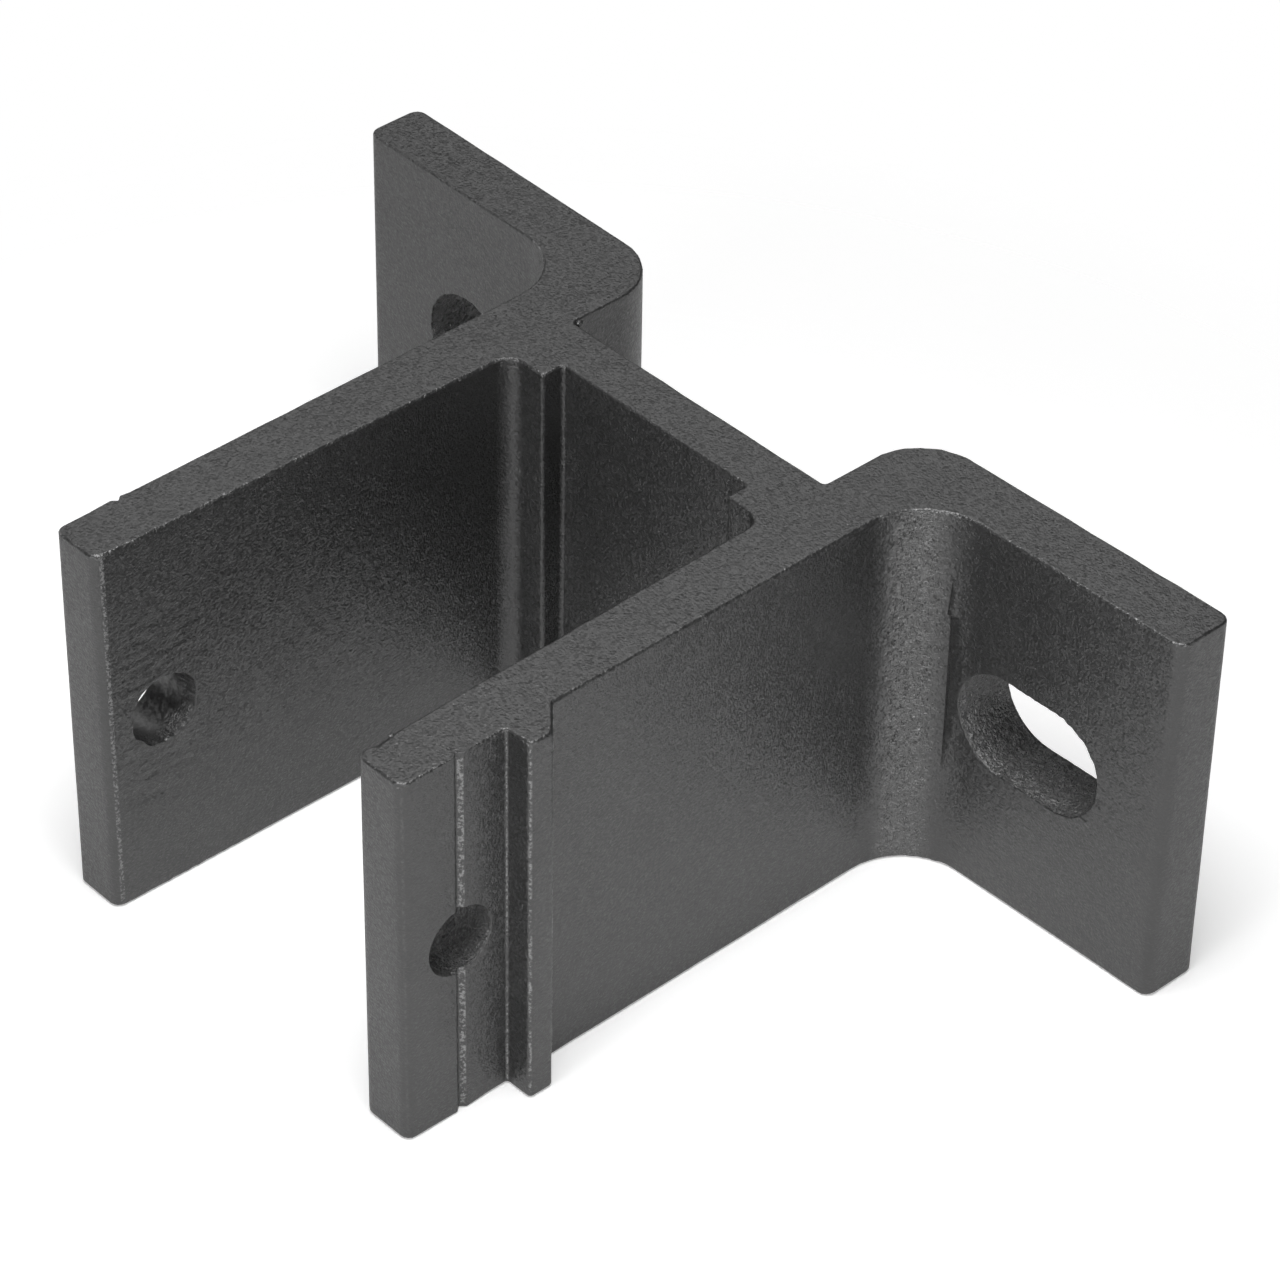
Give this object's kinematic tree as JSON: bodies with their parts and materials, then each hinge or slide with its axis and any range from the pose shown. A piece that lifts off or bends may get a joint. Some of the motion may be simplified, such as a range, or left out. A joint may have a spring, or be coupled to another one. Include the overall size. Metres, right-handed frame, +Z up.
{
  "type": "awning bracket",
  "caption": "Aluminium extrusion cut to length as a fork with two wall flanges: holds an awning arm's end on a pivot bolt and screws to a wall through slots.",
  "frame": {"origin": "centre of the bounding box's underside, so on the lower sawn end, midway across and midway between the open end of the arms and the wall side", "axes": "+X across the bracket, from the plain left arm to the arm with the rib; +Y from the open end of the arms towards the wall; +Z up along the extrusion"},
  "size_m": [0.101, 0.064, 0.0381],
  "materials": {
    "coat": "charcoal powder coat, satin with a fine orange-peel grain, thin on the sawn ends"
  },
  "bodies": {
    "root": {"bracket": "coat"}
  },
  "joints": []
}
